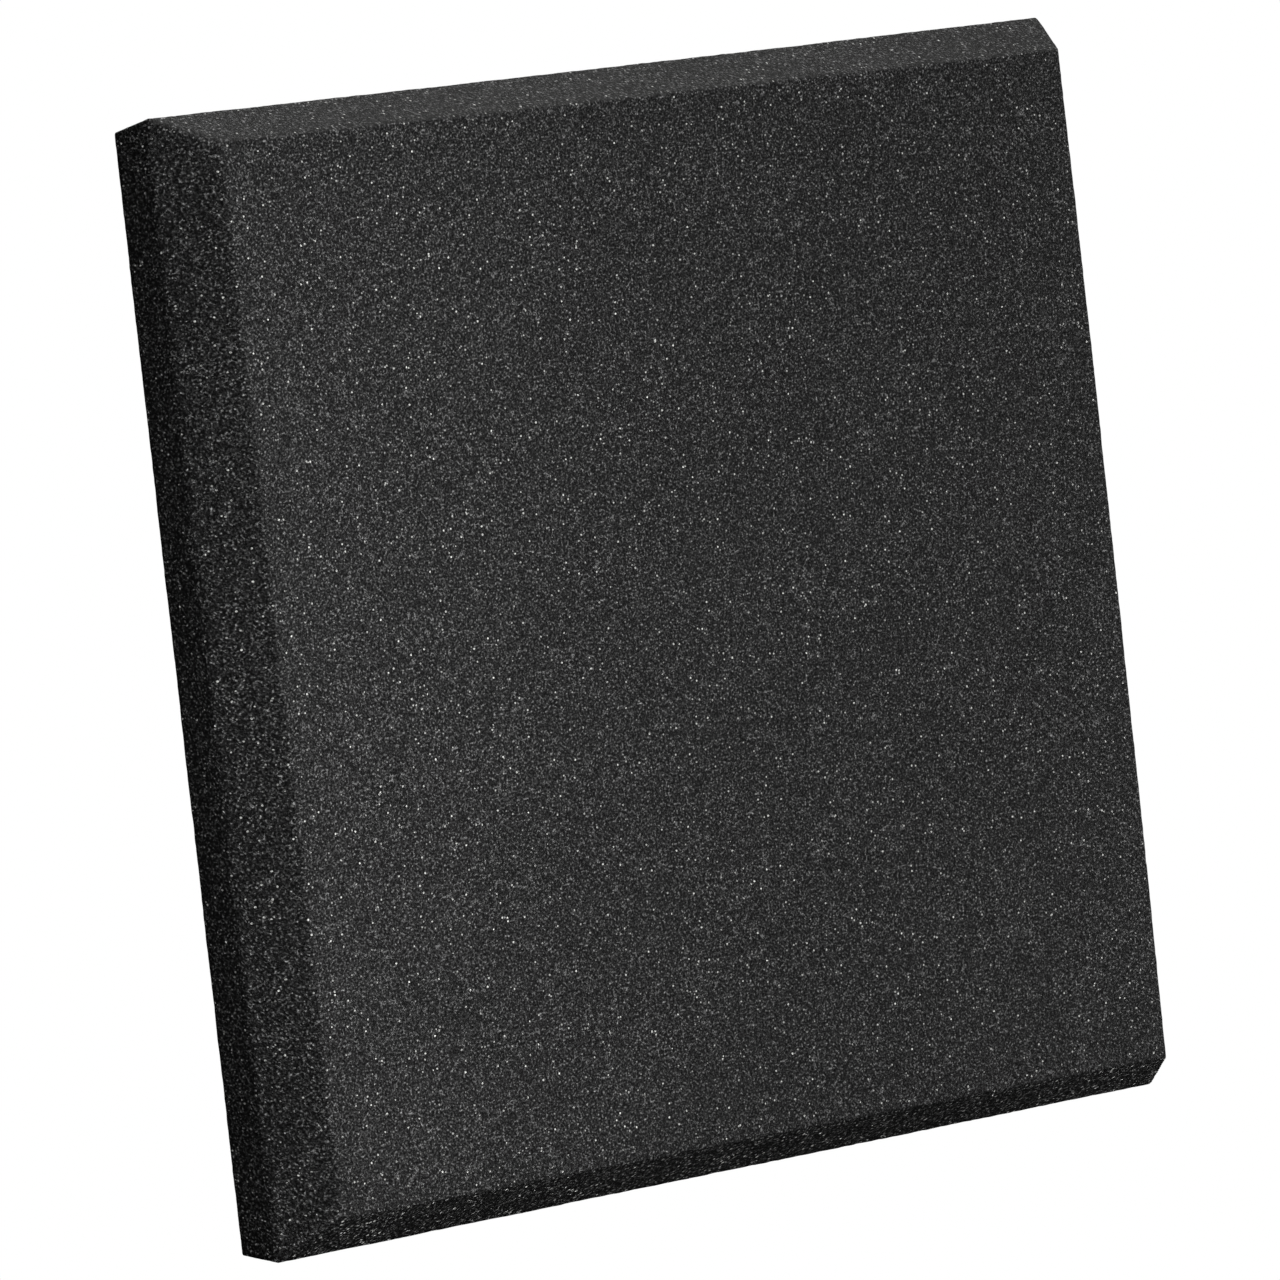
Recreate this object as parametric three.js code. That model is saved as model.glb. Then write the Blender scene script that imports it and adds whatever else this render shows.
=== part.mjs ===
// Bevelled square acoustic foam panel, with self-adhesive mounting pads on its back.
// Millimetres. +X is to the right seen from the front, +Z is up, and the flat face looks along -Y.
// The origin is the centre of the wall plane, on the outside of the centre pad's release liner.
import * as THREE from "three";
import { ConvexGeometry } from "three/addons/geometries/ConvexGeometry.js";

// Foam block
const panelSide = 600;
const panelThickness = 70;
const bevelWidth = 18.5; // how far the face is set in from the outline, on all four sides
const bevelDepth = 38.5; // how far the bevel runs back from the face

// Mounting pads: squares of double-sided foam tape
const padSide = 50;
const padThickness = 2;
const padCornerRadius = 3;
const padInset = 75; // from the panel's outline to the centre of a corner pad

// Release liners: the paper over each pad, with a tongue to pull it off by
const linerThickness = 0.3;
const tongueWidth = 20;
const tongueLength = 12;
const tongueCornerRadius = 5;

// Planes across Y, from the wall towards the face
const linerInnerY = -linerThickness;
const foamBackY = linerInnerY - padThickness;
const bevelBackY = foamBackY - (panelThickness - bevelDepth);
const faceY = foamBackY - panelThickness;

const curveSegments = 6;

const charcoalFoam = { color: 0x2e2e2f, roughness: 0.95, metalness: 0 };
const whiteFoamTape = { color: 0xe4e3dd, roughness: 0.8, metalness: 0 };
const siliconisedPaper = { color: 0xe9dfbf, roughness: 0.45, metalness: 0 };

function namedMesh(name, geometry, finish) {
  const mesh = new THREE.Mesh(geometry, new THREE.MeshStandardMaterial(finish));
  mesh.name = name;
  return mesh;
}

// The four corners of a square of the given half side, in the plane at y.
function squareCorners(halfSide, y) {
  const signs = [-1, 1];
  return signs.flatMap((sx) => signs.map((sz) => new THREE.Vector3(sx * halfSide, y, sz * halfSide)));
}

// The block is convex: straight walls behind, then a bevel that narrows to the flat face.
function foamBlock() {
  const half = panelSide / 2;
  return new ConvexGeometry([
    ...squareCorners(half, foamBackY),
    ...squareCorners(half, bevelBackY),
    ...squareCorners(half - bevelWidth, faceY),
  ]);
}

// Rounded square outline. With a tongue, its lower side carries a rounded tab that points down.
function padOutline(tongue) {
  const half = padSide / 2;
  const r = padCornerRadius;
  const outline = new THREE.Shape();
  outline.absarc(half - r, half - r, r, 0, Math.PI / 2);
  outline.absarc(-half + r, half - r, r, Math.PI / 2, Math.PI);
  outline.absarc(-half + r, -half + r, r, Math.PI, 1.5 * Math.PI);
  if (tongue) {
    const side = tongueWidth / 2;
    const end = -half - tongueLength;
    const tip = tongueCornerRadius;
    outline.lineTo(-side, -half);
    outline.absarc(-side + tip, end + tip, tip, Math.PI, 1.5 * Math.PI);
    outline.absarc(side - tip, end + tip, tip, 1.5 * Math.PI, 2 * Math.PI);
    outline.lineTo(side, -half);
  }
  outline.absarc(half - r, -half + r, r, 1.5 * Math.PI, 2 * Math.PI);
  outline.closePath();
  return outline;
}

// A flat sheet of an outline drawn in X and Z, from y = 0 forward to y = -thickness.
function sheet(outline, thickness) {
  const geometry = new THREE.ExtrudeGeometry(outline, {
    depth: thickness,
    bevelEnabled: false,
    curveSegments,
  });
  return geometry.rotateX(Math.PI / 2);
}

// Places of the pads on the back, as seen from the front
const reach = panelSide / 2 - padInset;
const padPlaces = {
  top_left: [-reach, reach],
  top_right: [reach, reach],
  bottom_left: [-reach, -reach],
  bottom_right: [reach, -reach],
  centre: [0, 0],
};

const panel = new THREE.Group();
panel.add(namedMesh("foam_panel", foamBlock(), charcoalFoam));

for (const [place, [x, z]] of Object.entries(padPlaces)) {
  const pad = namedMesh(`mounting_pad_${place}`, sheet(padOutline(false), padThickness), whiteFoamTape);
  pad.position.set(x, linerInnerY, z);
  const liner = namedMesh(`release_liner_${place}`, sheet(padOutline(true), linerThickness), siliconisedPaper);
  liner.position.set(x, 0, z);
  panel.add(pad, liner);
}

export default panel;
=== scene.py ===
import math

import bmesh
import bpy
import numpy as np
from mathutils import Euler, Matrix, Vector


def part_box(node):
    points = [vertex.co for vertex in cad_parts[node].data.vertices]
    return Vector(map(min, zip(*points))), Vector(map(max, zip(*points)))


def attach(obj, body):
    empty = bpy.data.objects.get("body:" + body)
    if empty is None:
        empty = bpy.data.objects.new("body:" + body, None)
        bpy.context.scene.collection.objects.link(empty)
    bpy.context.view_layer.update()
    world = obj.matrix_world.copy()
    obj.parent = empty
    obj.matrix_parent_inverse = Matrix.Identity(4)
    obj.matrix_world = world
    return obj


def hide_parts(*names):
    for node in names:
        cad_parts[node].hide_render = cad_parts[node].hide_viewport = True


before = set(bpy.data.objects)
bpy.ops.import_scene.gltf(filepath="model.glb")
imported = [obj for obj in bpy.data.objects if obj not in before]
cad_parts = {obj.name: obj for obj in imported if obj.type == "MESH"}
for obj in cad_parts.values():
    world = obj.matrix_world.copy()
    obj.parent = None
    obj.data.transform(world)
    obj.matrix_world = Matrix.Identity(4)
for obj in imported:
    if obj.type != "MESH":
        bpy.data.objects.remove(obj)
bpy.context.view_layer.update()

mm = 0.001
nearby = 0.1 * mm        # CAD corners closer than this lie in one plane
foamLow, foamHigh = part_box("foam_panel")


# sRGB hex to the linear colour that a shader socket holds
def toLinear(hexText):
    channels = [int(hexText[i:i + 2], 16) / 255 for i in (1, 3, 5)]
    return (*[c / 12.92 if c <= 0.04045 else ((c + 0.055) / 1.055) ** 2.4 for c in channels], 1)


# adds one node with its settings; an input is a value, or another node's output to link
def addNode(tree, kind, settings=None, inputs=None):
    node = tree.nodes.new("ShaderNode" + kind)
    for name, value in (settings or {}).items():
        setattr(node, name, value)
    for name, value in (inputs or {}).items():
        if isinstance(value, bpy.types.NodeSocket):
            tree.links.new(value, node.inputs[name])
        else:
            node.inputs[name].default_value = value
    return node


def setStops(ramp, stops):
    elements = ramp.color_ramp.elements
    while len(elements) < len(stops):
        elements.new(0.5)
    for element, (place, hexText) in zip(elements, stops):
        element.position = place
        element.color = toLinear(hexText)


def newMaterial(name):
    material = bpy.data.materials.new(name)
    material.use_nodes = True
    material.node_tree.nodes.clear()
    return material


def newPiece(name, vertices, faces, materials, slots=None):
    mesh = bpy.data.meshes.new(name)
    mesh.from_pydata([tuple(map(float, v)) for v in vertices], [], faces)
    mesh.update()
    mesh.shade_smooth()
    for material in materials:
        mesh.materials.append(material)
    if slots is not None:
        mesh.polygons.foreach_set("material_index", slots)
    piece = bpy.data.objects.new(name, mesh)
    bpy.context.scene.collection.objects.link(piece)
    return piece


# camera: a long lens, a little above and to the left of the panel, and tipped
camera = {
    "azimuth": -36.59,
    "height": 3.82,
    "roll": -6.31,
    "distance": 4.939,
    "slideRight": -0.0384,
    "slideUp": -0.0110,
    "lens": 259.3,
}


def placeCamera():
    turn = Euler((math.radians(90 - camera["height"]), 0, math.radians(camera["azimuth"])))
    roll = Euler((0, 0, math.radians(camera["roll"])))
    aim = turn.to_matrix() @ roll.to_matrix()
    faceCentre = Vector((0, foamLow.y, 0))
    data = bpy.data.cameras.new("studioCamera")
    data.lens = camera["lens"]
    data.clip_end = 60
    piece = bpy.data.objects.new("studioCamera", data)
    piece.matrix_world = aim.to_4x4()
    slide = Vector((camera["slideRight"], camera["slideUp"], camera["distance"]))
    piece.location = faceCentre + aim @ slide
    bpy.context.scene.collection.objects.link(piece)
    bpy.context.scene.camera = piece


placeCamera()
print("camera placed")


# studio: soft lamps round the panel, in metres and watts, a white world and a pale floor
lamps = {
    "frontHigh": {"place": (-0.4, -2.47, 0.9), "side": 0.6, "tall": 0.6, "watts": 54.0},
    "frontLow": {"place": (-0.2, -0.97, -0.5), "side": 0.4, "tall": 0.4, "watts": 0.7},
    "leftKey": {"place": (-0.62, -0.67, -0.05), "side": 0.35, "tall": 0.35, "watts": 3.1},
    "leftEdge": {"place": (-0.36, -0.39, -0.05), "side": 0.2, "tall": 1.0, "watts": 2.8},
    "rightEdge": {"place": (0.55, -0.23, -0.1), "side": 0.2, "tall": 0.8, "watts": 1.2},
    "rightLow": {"place": (0.6, -0.32, -0.35), "side": 0.25, "tall": 0.25, "watts": 1.1},
    "overhead": {"place": (0.1, -0.12, 1.5), "side": 0.6, "tall": 0.6, "watts": 25.5},
    "backFill": {"place": (0.7, 1.5, 0.7), "side": 0.8, "tall": 0.8, "watts": 34.0},
    "rightFill": {"place": (1.6, 0.2, 0.3), "side": 0.6, "tall": 0.6, "watts": 10.0},
}

studio = {
    "floorDrop": 0.45,       # from the panel's lowest edge down to the floor
    "floorRadius": 2.2,
    "grainScale": 900.0,     # the paper's grain, about 1.1 mm
    "paper": "#f6f6f4",
}


def lightStudio():
    aim = Vector((0, foamLow.y, 0))
    for name, lamp in lamps.items():
        data = bpy.data.lights.new(name, "AREA")
        data.shape = "RECTANGLE"
        data.size = lamp["side"]
        data.size_y = lamp["tall"]
        data.energy = lamp["watts"]
        piece = bpy.data.objects.new(name, data)
        piece.location = lamp["place"]
        piece.rotation_euler = (aim - Vector(lamp["place"])).to_track_quat("-Z", "Y").to_euler()
        piece.visible_camera = False
        bpy.context.scene.collection.objects.link(piece)

    world = bpy.data.worlds.new("whiteStudio")
    bpy.context.scene.world = world
    world.use_nodes = True
    world.node_tree.nodes["Background"].inputs["Color"].default_value = (1, 1, 1, 1)
    world.cycles_visibility.diffuse = False
    world.cycles_visibility.glossy = False


# matt paper sweep: bright enough to vanish into the white behind the panel
def paperMaterial():
    material = newMaterial("white_paper_sweep")
    tree = material.node_tree
    grain = addNode(tree, "TexNoise", {}, {"Scale": studio["grainScale"], "Detail": 3.0})
    bump = addNode(tree, "Bump", {}, {
        "Strength": 0.1,
        "Distance": 0.1 * mm,
        "Height": grain.outputs["Fac"],
    })
    white = toLinear(studio["paper"])
    paper = addNode(tree, "BsdfPrincipled", {}, {
        "Base Color": white,
        "Roughness": 0.9,
        "Emission Color": white,
        "Emission Strength": 0.95,
        "Normal": bump.outputs["Normal"],
    })
    addNode(tree, "OutputMaterial", {}, {"Surface": paper.outputs["BSDF"]})
    return material


def layFloor():
    mesh = bpy.data.meshes.new("studioFloor")
    disc = bmesh.new()
    bmesh.ops.create_circle(disc, cap_ends=True, segments=96, radius=studio["floorRadius"])
    disc.to_mesh(mesh)
    disc.free()
    mesh.materials.append(paperMaterial())
    floor = bpy.data.objects.new("studioFloor", mesh)
    floor.location = (0, 0, foamLow.z - studio["floorDrop"])
    floor.visible_diffuse = False
    floor.visible_glossy = False
    bpy.context.scene.collection.objects.link(floor)


lightStudio()
layFloor()
print("studio lit")


# foam block: one closed sheet of faces, cut soft, so its edges are a little round and bowed
foam = {
    "gridStep": 2.6 * mm,        # mesh spacing on the face
    "bevelRings": 14,            # rows of mesh down each bevel
    "wallRings": 12,             # and back along each wall
    "backStep": 4,               # the back's mesh is this many times coarser
    "faceEdgeRadius": 1.1 * mm,  # how round the face's edges are
    "edgeRings": 5,              # and across the rounding of each edge
    "leftMitreRadius": 7.0 * mm,  # how round each mitre is where it meets the face
    "rightMitreRadius": 1.2 * mm,
    "cornerRadius": 1.2 * mm,
    "backEdgeRadius": 1.0 * mm,
    "wallLean": 4.0 * mm,        # the top and bottom walls lean in by this much at the back
    "leftBackSag": 1.4 * mm,
    "leftFaceLift": 3.0 * mm,    # the face has crept up by this much along its left side
    "rightBow": 1.6 * mm,        # the right side bulges out at mid length
    "topBow": -0.6 * mm,         # and the top sags there
    "waveSize": 35 * mm,         # where the blade wandered
    "waveHeight": 0.5 * mm,
    "reliefSize": 4.5 * mm,      # roughness that frays the outline
    "reliefHeight": 0.5 * mm,
}


# width and depth of the bevel, read from the corners of the CAD block
def bevelOf(node):
    corners = [v.co for v in node.data.vertices]
    faceHalf = max(c.x for c in corners if c.y < foamLow.y + nearby)
    shoulder = min(c.y for c in corners if c.x > foamHigh.x - nearby)
    return foamHigh.x - faceHalf, shoulder - foamLow.y


def smoothMin(a, b, reach):
    overlap = np.maximum(reach - np.abs(a - b), 0) / np.maximum(reach, 1e-9)
    return np.minimum(a, b) - overlap ** 2 * reach / 4


# how far the surface lies behind the face, at a distance in from the outline
def bevelDrop(inset, width, depth):
    r = foam["faceEdgeRadius"]
    slope = depth / width
    straight = slope * (width - inset)
    rounded = slope * (width + r - inset) ** 2 / (4 * r)
    return np.where(inset < width - r, straight, np.where(inset < width + r, rounded, 0.0))


# pulls the corners of the square outline in to short arcs
def roundCorners(x, z, half):
    r = foam["cornerRadius"]
    u = np.maximum(np.abs(x) - (half - r), 0)
    v = np.maximum(np.abs(z) - (half - r), 0)
    pull = np.maximum(u, v) / np.maximum(np.hypot(u, v), 1e-9)
    pull = np.where((u > 0) & (v > 0), pull, 1.0)
    roundX = np.where(u > 0, np.sign(x) * (half - r + u * pull), x)
    roundZ = np.where(v > 0, np.sign(z) * (half - r + v * pull), z)
    return roundX, roundZ


def buildFoam(material):
    half = foamHigh.x
    back = foamHigh.y
    width, depth = bevelOf(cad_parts["foam_panel"])
    shoulder = foamLow.y + depth
    r = foam["faceEdgeRadius"]
    step = foam["backStep"]

    # spacing of the grid: fine over the bevels and finest where they round over
    bevel = np.linspace(0, width - r, foam["bevelRings"])
    edge = np.linspace(width - r, width + r, foam["edgeRings"] + 1)
    insets = [*bevel, *edge[1:]]
    inner = half - insets[-1]
    spans = round(2 * inner / foam["gridStep"])
    spans += -(spans + 2 * (len(insets) - 1)) % step
    middle = np.linspace(-inner, inner, spans + 1)[1:-1]
    line = np.array([*[i - half for i in insets], *middle, *[half - i for i in reversed(insets)]])
    n = len(line) - 1

    # front: the face and its bevels in one grid
    x, z = np.meshgrid(line, line, indexing="ij")
    fromSide = half - np.abs(x)
    fromEnd = half - np.abs(z)
    mitreRadius = np.where(x < 0, foam["leftMitreRadius"], foam["rightMitreRadius"])
    reach = mitreRadius * np.clip(np.minimum(fromSide, fromEnd) / width, 0, 1)
    y = foamLow.y + np.minimum(bevelDrop(smoothMin(fromSide, fromEnd, reach), width, depth), depth)
    x, z = roundCorners(x, z, half)
    vertices = [*np.stack([x.ravel(), y.ravel(), z.ravel()], 1)]
    cell = np.arange((n + 1) ** 2).reshape(n + 1, n + 1)
    faces = [
        (int(cell[i, j]), int(cell[i + 1, j]), int(cell[i + 1, j + 1]), int(cell[i, j + 1]))
        for i in range(n) for j in range(n)
    ]

    # walls: the outline swept back, and turned in round the back edge
    rim = [*cell[:-1, 0], *cell[-1, :-1], *cell[:0:-1, -1], *cell[0, :0:-1]]
    ring = [int(v) for v in rim]
    outline = np.array([vertices[v] for v in ring])
    turn = foam["backEdgeRadius"]
    sweep = [(0, d) for d in np.linspace(shoulder, back - turn, foam["wallRings"] + 1)[1:]]
    sweep += [(turn * (1 - math.cos(a)), back - turn * (1 - math.sin(a))) for a in np.radians((30, 60, 90))]
    for inset, behind in sweep:
        start = len(vertices)
        vertices += [(p[0] * (1 - inset / half), behind, p[2] * (1 - inset / half)) for p in outline]
        newRing = list(range(start, len(vertices)))
        faces += [(ring[k - 1], newRing[k - 1], newRing[k], ring[k]) for k in range(len(ring))]
        ring = newRing

    # back: a coarser grid, joined to the outline by one row of many-sided faces
    m = n // step
    coarse = np.linspace(-(half - turn), half - turn, m + 1)[1:-1]
    start = len(vertices)
    vertices += [(a, back, b) for a in coarse for b in coarse]
    cell = np.arange(start, start + (m - 1) ** 2).reshape(m - 1, m - 1)
    faces += [
        (int(cell[i, j]), int(cell[i, j + 1]), int(cell[i + 1, j + 1]), int(cell[i + 1, j]))
        for i in range(m - 2) for j in range(m - 2)
    ]
    sides = [cell[:, 0], cell[-1, :], cell[::-1, -1], cell[0, ::-1]]
    for s, hem in enumerate(sides):
        for k in range(m):
            outer = [ring[(s * n + k * step + q) % len(ring)] for q in range(step + 1)]
            inward = dict.fromkeys((int(hem[min(k, m - 2)]), int(hem[max(k - 1, 0)])))
            faces.append((*reversed(outer), *reversed(inward)))

    vertices = settle(np.array(vertices, dtype=float), half, shoulder)
    return newPiece("foam_block", vertices, faces, [material])


# soft foam isn't dead square: the walls lean, the face creeps and the long edges bow
def settle(points, half, shoulder):
    x, y, z = points.T
    behind = np.clip((y - shoulder) / (foamHigh.y - shoulder), 0, 1)
    before = np.clip((shoulder - y) / (shoulder - foamLow.y), 0, 1)
    leftward = (half - x) / (2 * half)
    along, across = z / half, x / half
    newX = x + foam["rightBow"] * np.maximum(across, 0) ** 2 * (1 - along ** 2)
    newZ = z + foam["topBow"] * np.maximum(along, 0) ** 2 * (1 - across ** 2)
    newZ -= foam["wallLean"] * behind * along + foam["leftBackSag"] * behind * leftward
    newZ += foam["leftFaceLift"] * before * leftward
    return np.stack([newX, y, newZ], 1)


# real relief under the material's own pattern
def roughen(piece):
    for name, size, height in (
        ("bladeWave", foam["waveSize"], foam["waveHeight"]),
        ("cellRelief", foam["reliefSize"], foam["reliefHeight"]),
    ):
        texture = bpy.data.textures.new(name, "CLOUDS")
        texture.noise_scale = size
        modifier = piece.modifiers.new(name, "DISPLACE")
        modifier.texture = texture
        modifier.texture_coords = "LOCAL"
        modifier.strength = height


foamLook = {
    "cellSize": 0.8 * mm,        # cells of 0.5 to 1 mm are usual; smaller ones wouldn't show
    "clumpSize": 1.25 * mm,      # clumps, pits, specks and arcs take in two or three cells
    "speckSpacing": 1.9 * mm,
    "arcSpacing": 2.6 * mm,
    "pitSize": 1.4 * mm,
    "toneSize": 70 * mm,
    "riseStretch": 1.6,          # cells are longer through the panel, the way the foam rose
    "pitLevel": 1.8,             # higher leaves more rags and fewer pits
    "pitShadePower": 6.5,             # how hard the painted pit shade and rag highlight stand out where they are strongest
    "wallPitShade": 0.6,             # how strong that painted shade is on the walls
    "underPaintedShadeAndGlint": 1.0,            # and what facing down adds, to it and to the painted glints
    "topLightShare": 0.2,            # how much of the pattern the painted light on top hides
    "toneSwing": 0.06,           # slow drift from lighter to darker foam
    "bumpHeight": 0.9 * mm,
    "clumpTones": [
        (0.24, "#121212"), (0.42, "#242424"), (0.5, "#2e2e2e"), (0.58, "#393939"),
        (0.65, "#484848"), (0.72, "#5e5e5e"), (0.8, "#868686"),
    ],
    "cellTones": [(0.0, "#a4a4a4"), (0.5, "#d4d4d4"), (1.0, "#ffffff")],
    # the specks set here are painted glints, each in a ring of painted shade
    "speckTones": [(0.5, "#000000"), (0.78, "#2a2a2a"), (0.93, "#585858"), (1.0, "#c4c4c4")],
    "speckGrowth": 1.4,          # painted glints are this much larger and paler underneath
    "speckShade": [(0.0, "#ffffff"), (0.45, "#9a9a9a"), (0.62, "#ffffff")],
    "glintHighlight": "#f4f4f0",
    "arc": "#606060",
    # a flat grey: painted light on what faces up
    "topLightGrey": "#3d3d3c",
}


# clumps of cells, some open and dark, some closed and pale, and each cell its own shade
def cutCells(tree, place):
    look = foamLook
    clumps = addNode(tree, "TexNoise", {}, {"Vector": place, "Scale": 1 / look["clumpSize"], "Detail": 0.0})
    tone = addNode(tree, "ValToRGB", {}, {"Fac": clumps.outputs["Fac"]})
    setStops(tone, look["clumpTones"])
    cells = addNode(tree, "TexVoronoi", {}, {"Vector": place, "Scale": 1 / look["cellSize"]})
    chance = addNode(tree, "TexWhiteNoise", {}, {"Vector": cells.outputs["Position"]})
    cellTone = addNode(tree, "ValToRGB", {}, {"Fac": chance.outputs["Value"]})
    setStops(cellTone, look["cellTones"])
    shaded = addNode(tree, "Mix", {"data_type": "RGBA", "blend_type": "MULTIPLY"}, {
        0: 1.0,
        6: tone.outputs["Color"],
        7: cellTone.outputs["Color"],
    })
    relief = addNode(tree, "Math", {"operation": "ADD"}, {
        0: cells.outputs["Distance"],
        1: clumps.outputs["Fac"],
    })
    return shaded.outputs[2], relief.outputs[0]


# how far a surface faces down, which strengthens its painted pit shade and its painted glints
def undersideOf(tree, normal):
    under = addNode(tree, "MapRange", {}, {
        "Value": normal.outputs["Z"],
        "From Min": -0.3,
        "From Max": -0.9,
        "To Min": 0.0,
        "To Max": foamLook["underPaintedShadeAndGlint"],
    })
    return under.outputs["Result"]


# pits with pale rags between them, as painted shade in the pits and painted highlight on the rags,
# set by which way the surface faces: none on the face, some on the bevels and walls, most underneath
def pitsWithPaintedShade(tree, place, colour, normal, under):
    look = foamLook
    facing = addNode(tree, "Math", {"operation": "MULTIPLY"}, {
        0: normal.outputs["Y"],
        1: normal.outputs["Y"],
    })
    sideways = addNode(tree, "MapRange", {}, {
        "Value": facing.outputs[0],
        "From Min": 0.3,
        "From Max": 0.0,
        "To Min": 0.0,
        "To Max": look["wallPitShade"],
    })
    strength = addNode(tree, "Math", {"operation": "ADD"}, {0: sideways.outputs["Result"], 1: under})
    power = addNode(tree, "Math", {"operation": "MULTIPLY"}, {0: strength.outputs[0], 1: look["pitShadePower"]})
    pits = addNode(tree, "TexNoise", {}, {"Vector": place, "Scale": 1 / look["pitSize"], "Detail": 0.0})
    level = addNode(tree, "Math", {"operation": "MULTIPLY"}, {0: pits.outputs["Fac"], 1: look["pitLevel"]})
    gain = addNode(tree, "Math", {"operation": "POWER"}, {0: level.outputs[0], 1: power.outputs[0]})
    pitShaded = addNode(tree, "Mix", {"data_type": "RGBA", "blend_type": "MULTIPLY"}, {
        0: 1.0,
        6: colour,
        7: gain.outputs[0],
    })
    return pitShaded.outputs[2]


# torn cell walls: short arcs along the edges of larger cells
def tornWalls(tree, place, colour):
    size = foamLook["arcSpacing"]
    walls = addNode(tree, "TexVoronoi", {"feature": "DISTANCE_TO_EDGE"}, {"Vector": place, "Scale": 1 / size})
    thread = addNode(tree, "MapRange", {"interpolation_type": "SMOOTHSTEP"}, {
        "Value": walls.outputs["Distance"],
        "From Min": 0.03,
        "From Max": 0.1,
        "To Min": 1.0,
        "To Max": 0.0,
    })
    breaks = addNode(tree, "TexNoise", {}, {"Vector": place, "Scale": 1 / size, "Detail": 0.0})
    broken = addNode(tree, "MapRange", {"interpolation_type": "SMOOTHSTEP"}, {
        "Value": breaks.outputs["Fac"],
        "From Min": 0.64,
        "From Max": 0.74,
    })
    arc = addNode(tree, "Math", {"operation": "MULTIPLY"}, {
        0: thread.outputs["Result"],
        1: broken.outputs["Result"],
    })
    arced = addNode(tree, "Mix", {"data_type": "RGBA"}, {
        0: arc.outputs[0],
        6: colour,
        7: toLinear(foamLook["arc"]),
    })
    return arced.outputs[2]


# painted glints: pale specks in the colour where a scrap of cell wall would catch the light, each beside a
# ring of painted shade
def paintedGlints(tree, place, colour, under):
    look = foamLook
    specks = addNode(tree, "TexVoronoi", {}, {"Vector": place, "Scale": 1 / look["speckSpacing"]})
    growth = addNode(tree, "MapRange", {}, {"Value": under, "To Min": 1.0, "To Max": look["speckGrowth"]})
    spread = addNode(tree, "Math", {"operation": "DIVIDE"}, {
        0: specks.outputs["Distance"],
        1: growth.outputs["Result"],
    })
    hollowShade = addNode(tree, "ValToRGB", {}, {"Fac": spread.outputs[0]})
    setStops(hollowShade, look["speckShade"])
    hollowShaded = addNode(tree, "Mix", {"data_type": "RGBA", "blend_type": "MULTIPLY"}, {
        0: 1.0,
        6: colour,
        7: hollowShade.outputs["Color"],
    })
    grain = addNode(tree, "MapRange", {"interpolation_type": "SMOOTHSTEP"}, {
        "Value": spread.outputs[0],
        "From Min": 0.18,
        "From Max": 0.4,
        "To Min": 1.0,
        "To Max": 0.0,
    })
    luck = addNode(tree, "TexWhiteNoise", {}, {"Vector": specks.outputs["Position"]})
    glint = addNode(tree, "ValToRGB", {}, {"Fac": luck.outputs["Value"]})
    setStops(glint, look["speckTones"])
    paler = addNode(tree, "Math", {"operation": "MULTIPLY"}, {
        0: glint.outputs["Color"],
        1: growth.outputs["Result"],
    })
    glintHighlight = addNode(tree, "Math", {"operation": "MULTIPLY"}, {
        0: grain.outputs["Result"],
        1: paler.outputs[0],
    })
    speckled = addNode(tree, "Mix", {"data_type": "RGBA"}, {
        0: glintHighlight.outputs[0],
        6: hollowShaded.outputs[2],
        7: toLinear(look["glintHighlight"]),
    })
    return speckled.outputs[2]


# painted light: what faces up is mixed toward a flat grey, which softens the pattern there
def paintedTopLight(tree, colour, normal):
    facingUp = addNode(tree, "MapRange", {}, {
        "Value": normal.outputs["Z"],
        "From Min": 0.2,
        "From Max": 0.8,
        "To Min": 0.0,
        "To Max": foamLook["topLightShare"],
    })
    topLit = addNode(tree, "Mix", {"data_type": "RGBA"}, {
        0: facingUp.outputs["Result"],
        6: colour,
        7: toLinear(foamLook["topLightGrey"]),
    })
    return topLit.outputs[2]


# the bun's slow drift from lighter to darker
def bunDrift(tree, place, colour):
    swing = foamLook["toneSwing"]
    clouds = addNode(tree, "TexNoise", {}, {
        "Vector": place,
        "Scale": 1 / foamLook["toneSize"],
        "Detail": 2.0,
    })
    drift = addNode(tree, "MapRange", {}, {
        "Value": clouds.outputs["Fac"],
        "From Min": 0.3,
        "From Max": 0.7,
        "To Min": 1 - swing,
        "To Max": 1 + swing,
    })
    drifted = addNode(tree, "Mix", {"data_type": "RGBA", "blend_type": "MULTIPLY"}, {
        0: 1.0,
        6: colour,
        7: drift.outputs["Result"],
    })
    return drifted.outputs[2]


# open-cell polyurethane foam, sliced by a blade: matt charcoal, each cut cell its own shade, with torn
# cell walls as short pale arcs, painted glints as pale specks, and painted shade and light set by facing
def foamMaterial():
    look = foamLook
    material = newMaterial("blade_cut_polyurethane_foam")
    tree = material.node_tree
    panel = addNode(tree, "TexCoord").outputs["Object"]
    rise = addNode(tree, "VectorMath", {"operation": "MULTIPLY"}, {
        0: panel,
        1: (1, 1 / look["riseStretch"], 1),
    })
    place = rise.outputs["Vector"]
    geometry = addNode(tree, "NewGeometry")
    normal = addNode(tree, "SeparateXYZ", {}, {"Vector": geometry.outputs["Normal"]})
    under = undersideOf(tree, normal)

    colour, relief = cutCells(tree, place)
    colour = pitsWithPaintedShade(tree, place, colour, normal, under)
    colour = tornWalls(tree, place, colour)
    colour = paintedGlints(tree, place, colour, under)
    colour = paintedTopLight(tree, colour, normal)
    colour = bunDrift(tree, place, colour)
    bump = addNode(tree, "Bump", {}, {"Strength": 1.0, "Distance": look["bumpHeight"], "Height": relief})
    surface = addNode(tree, "BsdfPrincipled", {}, {
        "Base Color": colour,
        "Roughness": 0.95,
        "IOR": 1.5,
        "Specular IOR Level": 0.1,
        "Normal": bump.outputs["Normal"],
    })
    addNode(tree, "OutputMaterial", {}, {"Surface": surface.outputs["BSDF"]})
    return material


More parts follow.
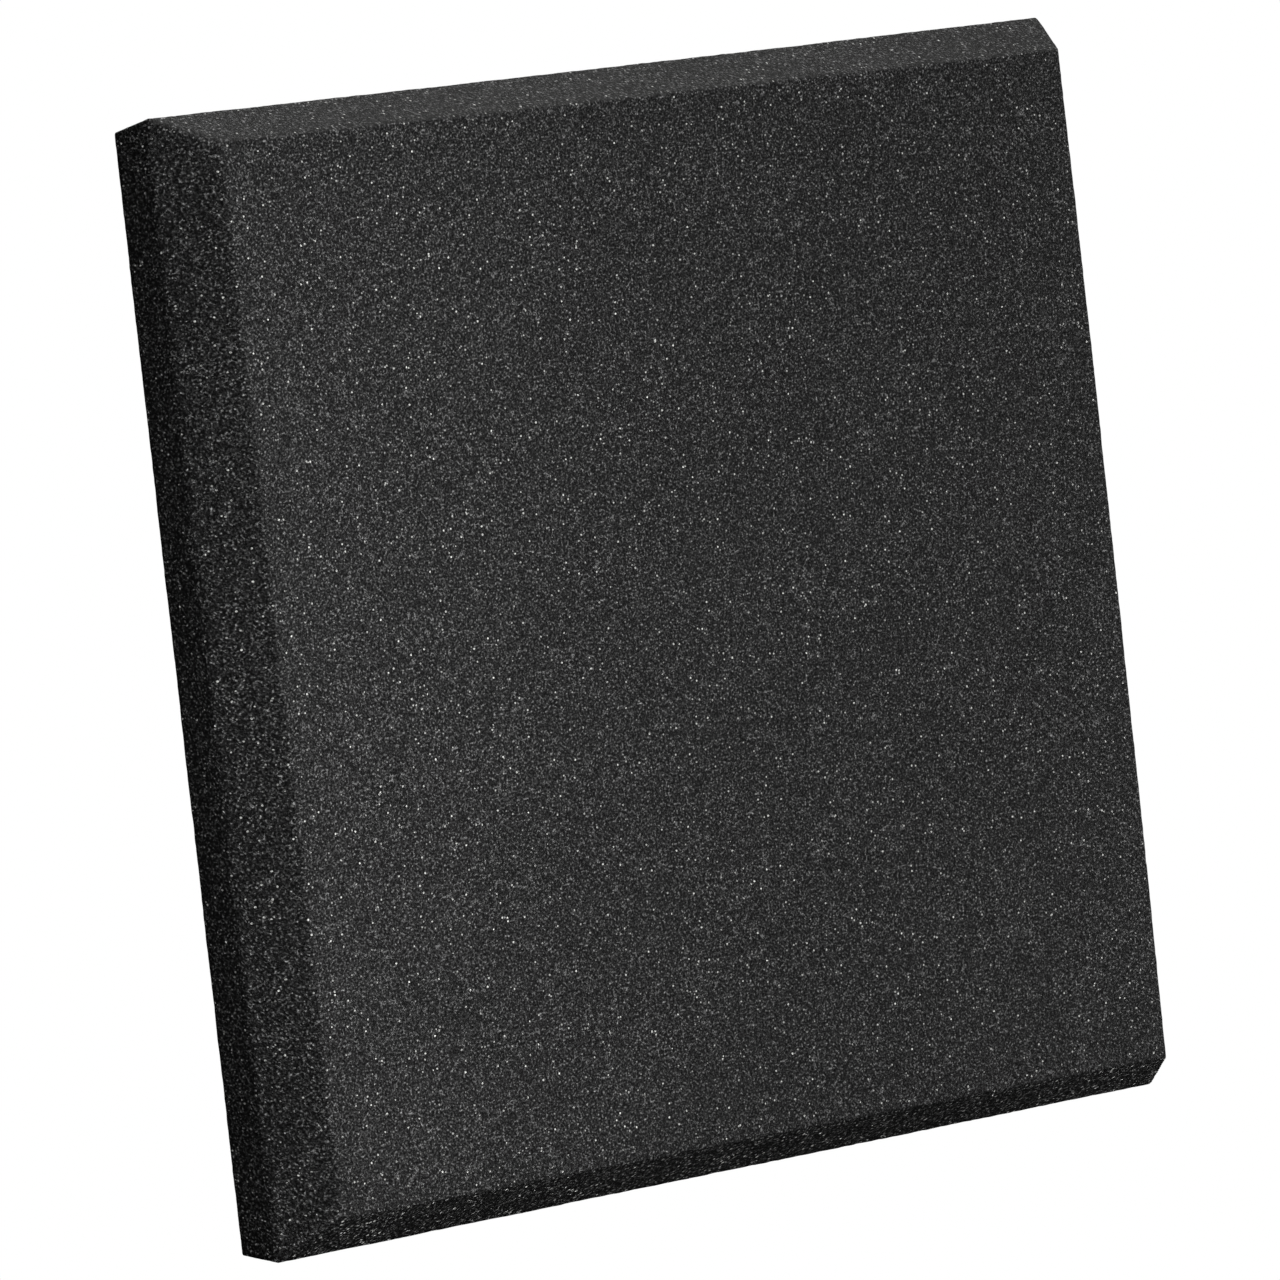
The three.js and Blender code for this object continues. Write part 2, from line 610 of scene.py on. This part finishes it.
foamPiece = buildFoam(foamMaterial())
roughen(foamPiece)
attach(foamPiece, "root")
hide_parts("foam_panel")
print("foam block built:", len(foamPiece.data.polygons), "faces")

# mounting pads: die-cut squares of double-sided tape, a foam core between two films of glue
pad = {
    "cornerRadius": 3.0 * mm,
    "arcSteps": 8,
    "filmThickness": 0.12 * mm,
    "filmInset": 0.25 * mm,
    "sideBulge": 0.15 * mm,      # the core swells out between the films
    "edgeRound": 0.1 * mm,       # rounding where the core meets the films
    "bubbleSize": 0.5 * mm,
    "peelSize": 1.2 * mm,
    "core": "#e4e3dd",
    "bubble": "#c9c8c1",
    "glue": "#d8cfa9",
    "thinGlue": "#cdc39b",
}


# a square with round corners, once round, in X and Z
def squareOutline(half, radius, centre):
    outline = []
    for corner in range(4):
        turn = math.radians(90 * corner)
        for k in range(pad["arcSteps"] + 1):
            a = turn + math.radians(90 * k / pad["arcSteps"])
            u = (half - radius) * (1 if corner in (0, 3) else -1) + radius * math.cos(a)
            v = (half - radius) * (1 if corner in (0, 1) else -1) + radius * math.sin(a)
            outline.append((centre[0] + u, centre[1] + v))
    return outline


# closed-cell polyethylene foam, white, with a fine skin of bubbles on its cut edges
def tapeCoreMaterial():
    material = newMaterial("die_cut_polyethylene_foam")
    tree = material.node_tree
    place = addNode(tree, "TexCoord").outputs["Object"]
    bubbles = addNode(tree, "TexVoronoi", {}, {"Vector": place, "Scale": 1 / pad["bubbleSize"]})
    tone = addNode(tree, "ValToRGB", {}, {"Fac": bubbles.outputs["Distance"]})
    setStops(tone, [(0.15, pad["bubble"]), (0.6, pad["core"])])
    bump = addNode(tree, "Bump", {}, {
        "Strength": 0.5,
        "Distance": 0.1 * mm,
        "Height": bubbles.outputs["Distance"],
    })
    core = addNode(tree, "BsdfPrincipled", {}, {
        "Base Color": tone.outputs["Color"],
        "Roughness": 0.7,
        "IOR": 1.51,
        "Specular IOR Level": 0.3,
        "Normal": bump.outputs["Normal"],
    })
    addNode(tree, "OutputMaterial", {}, {"Surface": core.outputs["BSDF"]})
    return material


# acrylic glue, rolled on as a film: yellowish, wet-looking, with a faint orange peel
def glueMaterial():
    material = newMaterial("rolled_acrylic_adhesive")
    tree = material.node_tree
    place = addNode(tree, "TexCoord").outputs["Object"]
    peel = addNode(tree, "TexNoise", {}, {"Vector": place, "Scale": 1 / pad["peelSize"], "Detail": 2.0})
    tone = addNode(tree, "ValToRGB", {}, {"Fac": peel.outputs["Fac"]})
    setStops(tone, [(0.35, pad["thinGlue"]), (0.65, pad["glue"])])
    gloss = addNode(tree, "MapRange", {}, {"Value": peel.outputs["Fac"], "To Min": 0.2, "To Max": 0.35})
    bump = addNode(tree, "Bump", {}, {
        "Strength": 0.3,
        "Distance": 0.05 * mm,
        "Height": peel.outputs["Fac"],
    })
    glue = addNode(tree, "BsdfPrincipled", {}, {
        "Base Color": tone.outputs["Color"],
        "Roughness": gloss.outputs["Result"],
        "IOR": 1.47,
        "Normal": bump.outputs["Normal"],
    })
    addNode(tree, "OutputMaterial", {}, {"Surface": glue.outputs["BSDF"]})
    return material


def buildPad(node, materials):
    low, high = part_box(node)
    half = (high.x - low.x) / 2
    centre = ((low.x + high.x) / 2, (low.z + high.z) / 2)
    film, step, bulge = pad["filmThickness"], pad["filmInset"], pad["sideBulge"]
    turn = pad["edgeRound"]
    middle = (low.y + high.y) / 2
    # each ring: how far in from the outline, where across the thickness, and film (1) or core (0) after it
    rings = [
        (step + turn, high.y, 1),
        (step, high.y - 0.4 * turn, 1),
        (step, high.y - film, 0),
        (turn, high.y - film - 0.2 * turn, 0),
        (0.0, high.y - 2 * film, 0),
        (-0.7 * bulge, (high.y + middle) / 2, 0),
        (-bulge, middle, 0),
        (-0.7 * bulge, (low.y + middle) / 2, 0),
        (0.0, low.y + 2 * film, 0),
        (turn, low.y + film + 0.2 * turn, 0),
        (step, low.y + film, 1),
        (step, low.y + 0.4 * turn, 1),
        (step + turn, low.y, 1),
    ]
    vertices, faces, slots = [], [], []
    for inset, y, _ in rings:
        outline = squareOutline(half - inset, pad["cornerRadius"] - inset, centre)
        vertices += [(x, y, z) for x, z in outline]
    n = len(outline)
    for r in range(len(rings) - 1):
        for k in range(n):
            after = (k + 1) % n
            faces.append((r * n + k, r * n + after, (r + 1) * n + after, (r + 1) * n + k))
            slots.append(rings[r][2])
    faces += [tuple(range(n))[::-1], tuple(range(len(vertices) - n, len(vertices)))]
    slots += [1, 1]
    return newPiece(node.replace("mounting_pad", "tape_pad"), vertices, faces, materials, slots)


padMaterials = [tapeCoreMaterial(), glueMaterial()]
padNodes = [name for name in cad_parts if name.startswith("mounting_pad")]
for name in padNodes:
    piece = buildPad(name, padMaterials)
    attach(piece, "root")
    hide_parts(name)
print("tape pads built:", len(padNodes))


# release liners: waxy paper over each pad, with a pull tongue that curls away from the foam
liner = {
    "gridStep": 1.25 * mm,
    "cornerRadius": 3.0 * mm,
    "tongueRadius": 5.0 * mm,
    "tongueCurl": 2.4 * mm,      # how far the tongue's tip lifts
    "cornerLift": 0.5 * mm,
    "cornerReach": 0.3,          # how much of the half side each lifting corner takes
    "cockle": 0.12 * mm,
    "cockleTurns": (260, 210),   # radians a metre, so the waves are about 24 mm by 30 mm
    "cockleShift": (40, 50),     # so that no two liners wave alike
    "pulpSize": 3 * mm,
    "paper": "#e9dfbf",
    "fibre": "#d8cba3",
}


def buildLiner(node, material):
    low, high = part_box(node)
    half = (high.x - low.x) / 2
    centreX, centreZ = (low.x + high.x) / 2, high.z - half
    tongueDrop = centreZ - half - low.z
    tip = [v.co.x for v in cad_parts[node].data.vertices if v.co.z < low.z + nearby]
    tongueHalf = round(max(tip) - centreX, 5) + liner["tongueRadius"]
    step = liner["gridStep"]
    squareLine = np.linspace(-half, half, round(2 * half / step) + 1)
    tongueLine = [u for u in squareLine if abs(u) <= tongueHalf + step / 4]
    dropLine = np.linspace(0, tongueDrop, round(tongueDrop / step) + 1)[1:]
    points, faces, at = [], [], {}
    for i, u in enumerate(squareLine):
        for j, v in enumerate(squareLine):
            at[i, j] = len(points)
            points.append(pullCorner(u, v, half, half, liner["cornerRadius"]))
    first = list(squareLine).index(tongueLine[0])
    last = first + len(tongueLine) - 1
    for i in range(first, last + 1):
        for j, drop in enumerate(dropLine):
            at[i, -1 - j] = len(points)
            u, v = pullCorner(squareLine[i], -drop, tongueHalf, tongueDrop, liner["tongueRadius"])
            points.append((u, v - half))
    for i, j in list(at):
        quad = [(i, j), (i, j + 1), (i + 1, j + 1), (i + 1, j)]
        if all(q in at for q in quad):
            faces.append(tuple(at[q] for q in quad))
    # the tongue curls, the corners lift a little, and each liner has its own gentle waves
    across, up = liner["cockleTurns"]
    shiftX, shiftZ = liner["cockleShift"]
    reach = liner["cornerReach"]
    vertices = []
    for u, v in points:
        below = max(-half - v, 0) / tongueDrop
        cornered = max(abs(u) / half + abs(v) / half - 2 + reach, 0) / reach if v > -half else 0
        waves = 0.5 + 0.5 * math.sin(u * across + centreX * shiftX) * math.cos(v * up + centreZ * shiftZ)
        lift = liner["tongueCurl"] * below ** 2 + liner["cornerLift"] * cornered ** 2
        lift += liner["cockle"] * waves
        vertices.append((centreX + u, high.y + lift, centreZ + v))
    piece = newPiece(node.replace("release_liner", "peel_paper"), vertices, faces, [material])
    thickness = piece.modifiers.new("paperThickness", "SOLIDIFY")
    thickness.thickness = high.y - low.y
    return piece


# pulls the corners of a rectangle in to short arcs
def pullCorner(u, v, halfU, halfV, radius):
    du, dv = abs(u) - (halfU - radius), abs(v) - (halfV - radius)
    if du <= 0 or dv <= 0:
        return u, v
    pull = max(du, dv) / math.hypot(du, dv)
    return (
        math.copysign(halfU - radius + du * pull, u),
        math.copysign(halfV - radius + dv * pull, v),
    )


# glassine paper, calendered and siliconised: pale straw, mottled, with a low waxy shine
def linerMaterial():
    material = newMaterial("siliconised_glassine_paper")
    tree = material.node_tree
    place = addNode(tree, "TexCoord").outputs["Object"]
    pulp = addNode(tree, "TexNoise", {}, {
        "Vector": place,
        "Scale": 1 / liner["pulpSize"],
        "Detail": 6.0,
        "Roughness": 0.65,
    })
    tone = addNode(tree, "ValToRGB", {}, {"Fac": pulp.outputs["Fac"]})
    setStops(tone, [(0.35, liner["fibre"]), (0.62, liner["paper"])])
    gloss = addNode(tree, "MapRange", {}, {"Value": pulp.outputs["Fac"], "To Min": 0.3, "To Max": 0.5})
    bump = addNode(tree, "Bump", {}, {
        "Strength": 0.25,
        "Distance": 0.1 * mm,
        "Height": pulp.outputs["Fac"],
    })
    paper = addNode(tree, "BsdfPrincipled", {}, {
        "Base Color": tone.outputs["Color"],
        "Roughness": gloss.outputs["Result"],
        "IOR": 1.43,
        "Normal": bump.outputs["Normal"],
    })
    addNode(tree, "OutputMaterial", {}, {"Surface": paper.outputs["BSDF"]})
    return material


peelPaper = linerMaterial()
linerNodes = [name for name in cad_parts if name.startswith("release_liner")]
for name in linerNodes:
    piece = buildLiner(name, peelPaper)
    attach(piece, "root")
    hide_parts(name)
print("release liners built:", len(linerNodes))

bpy.context.scene.view_settings.view_transform = "Standard"
